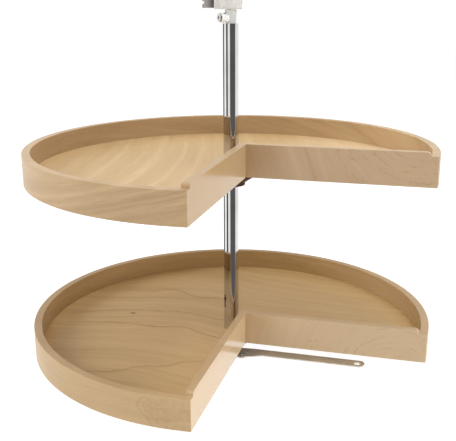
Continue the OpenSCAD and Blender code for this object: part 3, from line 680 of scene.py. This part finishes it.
def hub(z0):
    """The hub under a tray: a collar with the lock screw's hole, a cone, a flange with four screw holes, and a spigot
    up into the tray's floor. Heights are from the underside of the floor."""
    collar_r, collar_low, collar_top, lock_z = 25, -22, -17, -11
    screw_r, recess_r, lock_r = 2.12, 5.0, 3.02
    profile = rounded([
        (HUB_BORE_R, collar_low, 0), (collar_r, collar_low, 0.9), (collar_r, collar_top, 1.5),
        (HUB_FLANGE_R, -HUB_FLANGE_T, 0.5), (HUB_FLANGE_R, 0, 0.8), (SPIGOT_R, 0, 0), (SPIGOT_R, SPIGOT_H, 0.4),
        (HUB_BORE_R, SPIGOT_H, 0)], 3)
    tools = []
    for spot in circle(0, 0, HUB_SCREW_AT, 4):
        tools += [pin(recess_r, collar_low - 1, -HUB_FLANGE_T, spot, 32), pin(screw_r, -4, 1, spot, 24)]
    tools.append(moved(pin(lock_r, 0, 60, n=32), radial(LOCK_ANGLE, lock_z)))
    return moved(cut(lathe(profile, 128, closed=True), *tools), shift(0, 0, z0))


def cross_head(r, h, bite):
    """A pan head on z = 0 with a cross recess that is bite deep."""
    crown = [(r * out, h * up) for out, up in ((1, 0.35), (0.94, 0.62), (0.78, 0.85), (0.5, 0.97))]
    dome = lathe([(0, 0), (r, 0)] + crown + [(0, h)], 40)
    wide, thin = r * 0.52, r * 0.13
    recess = [prism([(-a, -b), (a, -b), (a, b), (-a, b)], h - bite, h + 1) for a, b in ((wide, thin), (thin, wide))]
    return cut(dome, *recess)


def hub_screws(z0):
    """Four screws that run up through the hub's flange into the tray's floor, each turned otherwise."""
    parts = []
    for i, (x, y) in enumerate(circle(0, 0, HUB_SCREW_AT, 4)):
        upside_down = Matrix.Rotation(pi, 4, "X") @ spin(20 + 50 * i)
        parts.append(moved(cross_head(4.2, 2.4, 1.3), shift(x, y, -HUB_FLANGE_T) @ upside_down))
        parts.append(lathe([(0, 9), (1.1, 8.6), (2.0, 6.6), (2.1, 6), (2.1, -3.9), (0, -3.9)], 24, (x, y, 0)))
    return moved(together(*parts), shift(0, 0, z0))


def beside_rim(z0):
    """Picks the points of a wall where it lies against the rim."""
    return lambda co: min(abs(co.x), abs(co.y)) < WALL_BACK + 0.01 and co.z < z0 + RIM_H + 0.1


def end_or_top(face):
    """The faces of a wall that carry on the rim's veneer: its top and its outer end."""
    return face.normal.z > 0.01 or all(v.co.xy.length > R - 1 for v in face.verts)


for level, z0 in TRAYS.items():
    body, rim = TRAY_BODY[level], WOODS[f"{level}_rim"]
    nodes[f"{level}_tray_floor"].data.materials[0] = WOODS[f"{level}_floor"]
    nodes[f"{level}_tray_nails"].data.materials[0] = nail_steel
    nodes[f"{level}_hub_lock_screw"].data.materials[0] = screw_steel
    piece(f"{level}_rim_bent", tray_rim(z0), rim, body, f"{level}_tray_rim")
    boards = {"right": straight_wall(z0, WALL_BACK), "left": left_of(straight_wall(z0, WALL_FACE))}
    for side, board in boards.items():
        piece(f"{level}_{side}_board", board, WOODS[f"{level}_{side}_wall"], body,
              f"{level}_{side}_wall", ease=0.7, segments=3, flush=beside_rim(z0), cover=rim, on=end_or_top)
    piece(f"{level}_hub_moulding", hub(z0), hub_brown, body, f"{level}_hub")
    piece(f"{level}_hub_screw_set", hub_screws(z0), screw_steel, body, f"{level}_hub_screws")


# ---- Pole, foot and base ----

def keyhole():
    """The tool for the keyhole above the lower tray: an upright slot with a round eye in its upper part."""
    w, eye_r, low, length, eye_up, reach = 1.8, 3.5, 93.5, 25.5, 18.0, 30
    slot = rounded([(x, y, w * 0.98) for x, y in ((-length, -w), (-length, w), (0, w), (0, -w))], 6)
    return join(moved(prism(slot, 0, reach), radial(LOCK_ANGLE, low)),
                moved(pin(eye_r, 0, reach, n=40), radial(LOCK_ANGLE, low + eye_up)))


def pole_plug():
    """The foot plug: a flange under the tube, a shank up into it, and the bore of the spindle."""
    bore_r, flange_r, low, top = 5.05, 16.35, 15.6, 48
    return lathe(rounded([(bore_r, low, 0), (flange_r, low, 0.4), (flange_r, POLE_Z, 0.5), (PLUG_R, POLE_Z, 0),
                          (PLUG_R, top, 1.0), (bore_r, top, 0)], 3), 96, closed=True)


def base():
    """The disc that is screwed to the cabinet's floor: three countersunk holes, a boss with the bore of the spindle
    and the groove of the arm's ring, and an ear under the arm's clamp screw."""
    disc_r, disc_h, boss_r, groove_r, bore_r, bore_from = 23, 5.3, 11.5, 10.5, 5.02, 1
    groove_low, groove_high, boss_top = 7.55, 8.85, 9.7
    disc = lathe(rounded([
        (0, 0, 0), (disc_r, 0, 0.4), (disc_r, disc_h, 0.8), (boss_r, disc_h, 0.5), (boss_r, groove_low, 0),
        (groove_r, groove_low, 0), (groove_r, groove_high, 0), (boss_r, groove_high, 0), (boss_r, boss_top, 0.3),
        (bore_r, boss_top, 0), (bore_r, bore_from, 0), (0, bore_from, 0)], 3), 128)
    ear_z, ear_w, ear_r, spot = (3.4, 5.29), 5.5, 7, on_circle(EAR_AT, EAR_ANGLE)
    neck = prism([(0, -ear_w), (EAR_AT, -ear_w), (EAR_AT, ear_w), (0, ear_w)], *ear_z)
    ear = join(moved(neck, spin(EAR_ANGLE)), pin(ear_r, *ear_z, spot, 64))
    ear = cut(ear, pin(boss_r - 0.1, 0, 12), pin(2.02, 0, 12, spot))
    holes_at, hole_r, sink_r = 17.7, 2.25, 4.25
    holes = []
    for angle in (90, 180, 270):
        x, y = on_circle(holes_at, angle)
        sink = [(0, 3.3), (hole_r, 3.3), (sink_r, disc_h + 0.05), (sink_r, 6), (0, 6)]
        holes += [pin(hole_r, -1, 7, (x, y), 32), lathe(sink, 32, (x, y, 0))]
    return join(cut(disc, *holes), ear)


tube = rounded([(POLE_IN, POLE_Z, 0.3), (POLE_R, POLE_Z, 0.3), (POLE_R, POLE_TOP, 0.4), (POLE_IN, POLE_TOP, 0.3)], 2)
piece("pole", cut(lathe(tube, 160, closed=True), keyhole()), chrome, "carousel", "pole_tube")
piece("pole_plug", pole_plug(), nylon_grey, "carousel", "pole_foot")
piece("base_disc", base(), cast_zinc, "base", "base_foot", ease=0.2)
CARRIED_OVER = {
    bright_steel: ("base_spindle", "lower_race", "upper_race", "stem_rod", "stem_collar"),
    screw_steel: ("arm_retaining_ring", "stem_clamp_nut", "stem_stop_clip", "stem_top_clip"),
    ball_steel: ("bearing_balls",),
    bronze: ("ball_cage", "thrust_washer"),
    nylon_grey: ("top_bush",),
}
for material, names in CARRIED_OVER.items():
    for name in names:
        nodes[name].data.materials[0] = material


# ---- Index arm ----

def arm():
    """The flat arm: a ring round the base's boss, a bar along +X with three holes, and beside the ring a lobe with
    the slot of the clamp screw. The holes are countersunk from above."""
    spot = on_circle(EAR_AT, EAR_ANGLE)
    half, root_half, shoulder, neck, tip = 11.7, 7.5, 36, 225, 235
    bar = ([(0, -root_half), (shoulder, -half), (neck, -half)] + arc(tip, 0, 13, -62, 62, 24)
           + [(neck, half), (shoulder, half), (0, root_half)])
    web = [(30, 0), spot, (spot[0], spot[1] - 8.28), (62, -half), (62, 0)][::-1]
    plate = join(prism(bar, *ARM_Z), pin(15, *ARM_Z, n=96), pin(9.2, *ARM_Z, spot, 64), prism(web, *ARM_Z))
    slot_r, swing = 2.2, 6
    end = swing + degrees(asin(slot_r / EAR_AT))
    slot = (arc(0, 0, EAR_AT + slot_r, EAR_ANGLE - end, EAR_ANGLE + end, 10)
            + arc(0, 0, EAR_AT - slot_r, EAR_ANGLE + end, EAR_ANGLE - end, 10))
    low, high, sink = ARM_Z[0] - 0.1, ARM_Z[1] + 0.1, 1.1
    holes = [lathe([(0, low), (r, low), (r, high - sink), (r + sink, high), (0, high)], n, (x, 0, 0))
             for x, r, n in ((tip, 5.25, 96), (216.6, 2.25, 48), (206.5, 2.25, 48))]
    return cut(plate, pin(11.55, 0, 9, n=96), prism(slot, 0, 9), *holes)


def socket_screw(head_r, head_h, socket_r, deep, shank_r, shank_len, ease=0.45):
    """A head on z = 0 with a hexagon socket, over its shank."""
    body = lathe([(0, -shank_len), (shank_r - 0.4, -shank_len), (shank_r, -shank_len + 0.5), (shank_r, 0), (head_r, 0)]
                 + arc(head_r - ease, head_h - ease, ease, 0, 90, 3) + [(socket_r + 0.7, head_h), (0, head_h)], 64)
    return cut(body, prism(circle(0, 0, socket_r, 6), head_h - deep, head_h + 1))


piece("arm_plate", arm(), zinc, "arm", "index_arm", ease=0.25)
arm_screw = moved(socket_screw(4.3, 2.5, 2.15, 1.25, 2.0, 5.1), spin(EAR_ANGLE) @ shift(EAR_AT, 0, ARM_Z[1] + 0.1))
piece("arm_screw", arm_screw, bright_steel, "base", "arm_clamp_screw")


# ---- Telescoping stem and top mount ----

def guide():
    """The neck: a plug in the top of the tube, a flare up to the housing, the bore of the stem, and a boss with the
    clamp screw's hole and the slot of its nut."""
    foot, top, bore_r, over = 571.75, 624.1, 6.05, 640
    profile = rounded([(bore_r, foot, 0), (PLUG_R, foot, 0.8), (PLUG_R, POLE_TOP, 0), (8.25, POLE_TOP, 0),
                       (10.0, top, 0.5), (bore_r, top, 0.3)], 3)
    boss_r, edge = 8, 0.6
    boss = lathe([(0, 6.5), (boss_r, 6.5)] + arc(boss_r - edge, BOSS_END - edge, edge, 0, 90, 3) + [(0, BOSS_END)], 64)
    body = join(lathe(profile, 96, closed=True), moved(boss, radial(LOCK_ANGLE, CLAMP_Z)))
    nut_from, nut_to, nut_w = 11.48, 15.52, 5.02
    nut_slot = prism([(nut_from, -nut_w), (nut_to, -nut_w), (nut_to, nut_w), (nut_from, nut_w)], CLAMP_Z - nut_w, over)
    return cut(body, moved(pin(3.05, 0, 30, n=32), radial(LOCK_ANGLE, CLAMP_Z)), pin(bore_r, 560, over, n=64),
               moved(nut_slot, spin(LOCK_ANGLE)))


def housing():
    """The housing round the stem: a round front whose lower edge is soft, a block on its left, and a flat back."""
    left, side_y, right, right_y, meets = -27, -8, 16, 9.3, 25.62
    outline = ([(left, BACK_Y), (left, side_y)] + arc(0, 0, HOUSING_R, 180 + meets, 315, 60)
               + arc(0, 0, HOUSING_R, 315, 360, 20)[1:] + [(right, right_y), (right, BACK_Y)])
    soft, beyond = 4.0, 20
    below, inner = HOUSING_Z - 1, HOUSING_R - soft
    under = lathe([(inner, HOUSING_Z), (inner, below), (beyond, below), (beyond, HOUSING_Z + soft)]
                  + arc(inner, HOUSING_Z + soft, soft, 0, -90, 8)[:-1], 96, closed=True)
    z = (600, 660)
    under = cut(under, prism([(-40, side_y), (0, side_y), (0, 40), (-40, 40)], *z),
                prism([(-1, right_y - 0.05), (right + 0.02, right_y - 0.05), (right + 0.02, 40), (-1, 40)], *z))
    bush_r, collar_r, cap_from = 8.07, 9.6, 644.9
    return cut(prism(outline, HOUSING_Z, HOUSING_TOP), under, pin(collar_r, below, HOUSING_Z + 5, n=64),
               pin(bush_r, HOUSING_Z, HOUSING_TOP + 1, n=64), pin(12, cap_from, HOUSING_TOP + 1, n=64))


def bracket():
    """Folded sheet: an upright against the housing, with a notch in its left edge, and a flange under the cabinet's
    top, with four holes."""
    outer, inner, low, edge_y = 3.5, 1.0, 626.6, 55.5
    under = TOP_Z - (PLATE_Y - BACK_Y)
    path = ([(BACK_Y, low), (PLATE_Y, low)] + arc(PLATE_Y + inner, under - inner, inner, 180, 90, 6)
            + [(edge_y, under), (edge_y, TOP_Z)] + arc(BACK_Y + outer, TOP_Z - outer, outer, 90, 180, 6))
    sheet = moved(prism(path, -15, 54), Matrix(((0, 0, -1, 0), (1, 0, 0, 0), (0, 1, 0, 0), (0, 0, 0, 1))))
    holes = [pin(2.4, 655, 670, (-19.5 + sx * 23, 35.5 + sy * 10), 32) for sx in (-1, 1) for sy in (-1, 1)]
    w, deep_x, notch_z = 2.5, -53, 635.4
    notch = join(prism([(-56, -w), (deep_x, -w), (deep_x, w), (-56, w)], -2, 6), pin(w, -2, 6, (deep_x, 0), 32))
    return cut(sheet, *holes, moved(notch, shift(0, 12, notch_z) @ BACKWARDS))


def bracket_screws():
    """Two screws from behind through the bracket into the housing."""
    parts = []
    for x in (-20, 12):
        screw = join(cross_head(3.7, 2.4, 1.2), pin(2.0, -11.4, 0.2, n=24))
        parts.append(moved(screw, shift(x, PLATE_Y, 635.9) @ BACKWARDS @ spin(30)))
    return together(*parts)


# The neck's body wears the painted shade; the outer part of its boss wears the white nylon.
piece("stem_neck", guide(), neck_painted_shade, "carousel", "stem_guide", cover=neck_white,
      on=lambda face: face.calc_center_median().xy.length > 12.4)
screw_axis = Vector((*on_circle(1, LOCK_ANGLE), 0))
neck_screw = moved(socket_screw(6.75, 3.2, 3.0, 1.9, 2.95, 13.9, 0.7),
                   radial(LOCK_ANGLE, CLAMP_Z) @ shift(0, 0, BOSS_END))
piece("neck_clamp_screw", neck_screw, chrome, "carousel", "stem_clamp_screw", cover=bright_steel,
      on=lambda face: face.normal.dot(screw_axis) > 0.6)
piece("mount_housing", housing(), housing_white, "top_mount", "top_housing", ease=0.5)
CAP_R, CAP_T = 11.95, 2
cap = rounded([(0, HOUSING_TOP - CAP_T, 0), (CAP_R, HOUSING_TOP - CAP_T, 0), (CAP_R, HOUSING_TOP, 0.5),
               (0, HOUSING_TOP, 0)], 3)
piece("mount_cap", lathe(cap, 64), housing_white, "top_mount", "housing_cap")
piece("mount_bracket", bracket(), bracket_steel, "top_mount", "top_bracket", ease=0.3)
piece("bracket_screw_pair", bracket_screws(), screw_steel, "top_mount", "bracket_screws")


# ---- Stage, light and camera. Here plain numbers are metres. ----

def stage_mesh(name, bm, material):
    mesh = bpy.data.meshes.new(name)
    bm.to_mesh(mesh)
    bm.free()
    mesh.materials.append(material)
    obj = bpy.data.objects.new(name, mesh)
    bpy.context.scene.collection.objects.link(obj)
    return obj


def direct_ray(tree):
    """1 for the camera's rays and for those that come by way of a reflection or through glass, and 0 for others."""
    path = tree.nodes.new("ShaderNodeLightPath").outputs
    direct = path["Is Camera Ray"]
    for ray in ("Is Glossy Ray", "Is Transmission Ray"):
        most = tree.nodes.new("ShaderNodeMath")
        most.operation = "MAXIMUM"
        tree.links.new(direct, most.inputs[0])
        tree.links.new(path[ray], most.inputs[1])
        direct = most.outputs[0]
    return direct


def floor():
    """A white floor. The camera and reflections see it white, with a faint shadow of the object."""
    s = Shader("floor_white")
    seen = direct_ray(s.tree)
    diffuse = s.node("BsdfDiffuse", {0: s.mix(seen, (0.86, 0.86, 0.86, 1), (0.3, 0.3, 0.3, 1))})
    glow = s.node("Emission", {0: (1, 1, 1, 1), 1: s.mul(seen, 0.95)})
    s.surface(s.node("AddShader", {0: diffuse, 1: glow}))
    bm = bmesh.new()
    bmesh.ops.create_circle(bm, cap_ends=True, segments=96, radius=9.0)
    stage_mesh("floor", bm, s.mat)


def studio_cards():
    """Light and dark cards around the object and on the floor. Only mirror-bright plating sees them. Each band has
    its angles from the side that faces the camera, and how bright it is."""
    bands = [(-180, -115, 0.10), (-115, -74, 1.08), (-74, -47, 0.07), (-47, -14, 0.96), (-14, 66, 0.11),
             (66, 96, 0.9), (96, 180, 0.98)]
    facing, far, near, low, top = -74.75, 0.95, 0.05, 0.001, 2.6
    s = Shader("cards")
    shade = s.node("Attribute", out=2, attribute_name="shade")
    mirror = s.tree.nodes.new("ShaderNodeLightPath").outputs["Is Singular Ray"]
    glow = s.node("Emission", {0: shade, 1: 1.32})
    s.surface(s.node("MixShader", {0: mirror, 1: s.node("BsdfTransparent"), 2: glow}))
    bm = bmesh.new()
    shades = []
    for a0, a1, value in bands:
        steps = max(2, int((a1 - a0) / 6))
        for i in range(steps):
            t0, t1 = (radians(facing + a0 + (a1 - a0) * k / steps) for k in (i, i + 1))
            for (r0, z0), (r1, z1) in (((far, low), (far, top)), ((near, low), (far, low))):
                bm.faces.new([bm.verts.new((r * cos(t), r * sin(t), z)) for t, r, z in
                              ((t0, r0, z0), (t1, r0, z0), (t1, r1, z1), (t0, r1, z1))])
                shades.append(value)
    obj = stage_mesh("cards", bm, s.mat)
    obj.data.attributes.new("shade", "FLOAT", "FACE").data.foreach_set("value", shades)
    for ray in ("camera", "diffuse", "transmission", "volume_scatter", "shadow"):
        setattr(obj, "visible_" + ray, False)


def studio_world():
    """White where it is seen directly. The light it gives is weak and a little warm."""
    world = bpy.data.worlds.new("studio")
    bpy.context.scene.world = world
    world.use_nodes = True
    tree = world.node_tree
    tree.nodes.clear()
    light, seen, pick, out = (tree.nodes.new("ShaderNode" + kind)
                              for kind in ("Background", "Background", "MixShader", "OutputWorld"))
    for background, colour, strength in ((light, (1.0, 0.985, 0.965, 1), 0.16), (seen, (1, 1, 1, 1), 1.0)):
        background.inputs["Color"].default_value = colour
        background.inputs["Strength"].default_value = strength
    for source, socket in ((direct_ray(tree), pick.inputs[0]), (light.outputs[0], pick.inputs[1]),
                           (seen.outputs[0], pick.inputs[2]), (pick.outputs[0], out.inputs[0])):
        tree.links.new(source, socket)


def softbox(name, where, size, watts):
    """A lamp that points at the object and isn't seen itself."""
    aim = Vector((0, 0, 0.25))
    data = bpy.data.lights.new(name, "AREA")
    data.shape, data.size, data.size_y = "RECTANGLE", size[0], size[1]
    data.energy = watts
    obj = bpy.data.objects.new(name, data)
    bpy.context.scene.collection.objects.link(obj)
    obj.location = where
    obj.rotation_euler = (aim - Vector(where)).to_track_quat("-Z", "Y").to_euler()
    obj.visible_camera = False
    obj.visible_glossy = False


def camera():
    """Where the photograph was taken from, with its lens and framing."""
    width, focal, centre, sensor = 456, 789.566, 230.42, 36
    around, away, height = 15.251, 1.3641, 0.641924
    yaw, pitch, roll = radians(-around - 0.06), radians(15.711), radians(0.126)
    ahead = Vector((sin(yaw) * cos(pitch), cos(yaw) * cos(pitch), -sin(pitch)))
    right = Vector((cos(yaw), -sin(yaw), 0))
    down = -right.cross(ahead)
    x = cos(roll) * right + sin(roll) * down
    y = -(-sin(roll) * right + cos(roll) * down)
    data = bpy.data.cameras.new("camera")
    data.sensor_width, data.sensor_fit, data.lens = sensor, "HORIZONTAL", focal / width * sensor
    data.shift_x = (width / 2 - centre) / width
    data.clip_start, data.clip_end = 0.01, 100
    obj = bpy.data.objects.new("camera", data)
    bpy.context.scene.collection.objects.link(obj)
    obj.matrix_world = Matrix((x, y, -ahead)).transposed().to_4x4()
    obj.matrix_world.translation = (away * sin(radians(around)), -away * cos(radians(around)), height)
    bpy.context.scene.camera = obj


LIGHTS = (  # where each lamp stands, its width and height, and its watts
    ("top", (0.2, 0.0, 3.0), (2.0, 2.0), 39),
    ("left", (-2.6, -0.5, 1.4), (1.6, 1.2), 33),
    ("front_left", (-1.6, -2.4, 0.5), (1.2, 0.8), 8),
    ("low_right", (2.7, -0.4, 0.2), (1.2, 0.4), 25),
    ("right", (2.2, -0.6, 2.2), (1.6, 1.6), 12),
    ("front", (0.4, -2.6, 1.6), (1.6, 1.6), 24.5),
    ("back", (0.0, 2.2, 2.4), (1.6, 1.6), 16),
)

floor()
studio_cards()
studio_world()
for light in LIGHTS:
    softbox(*light)
camera()
bpy.context.scene.view_settings.view_transform = "Standard"
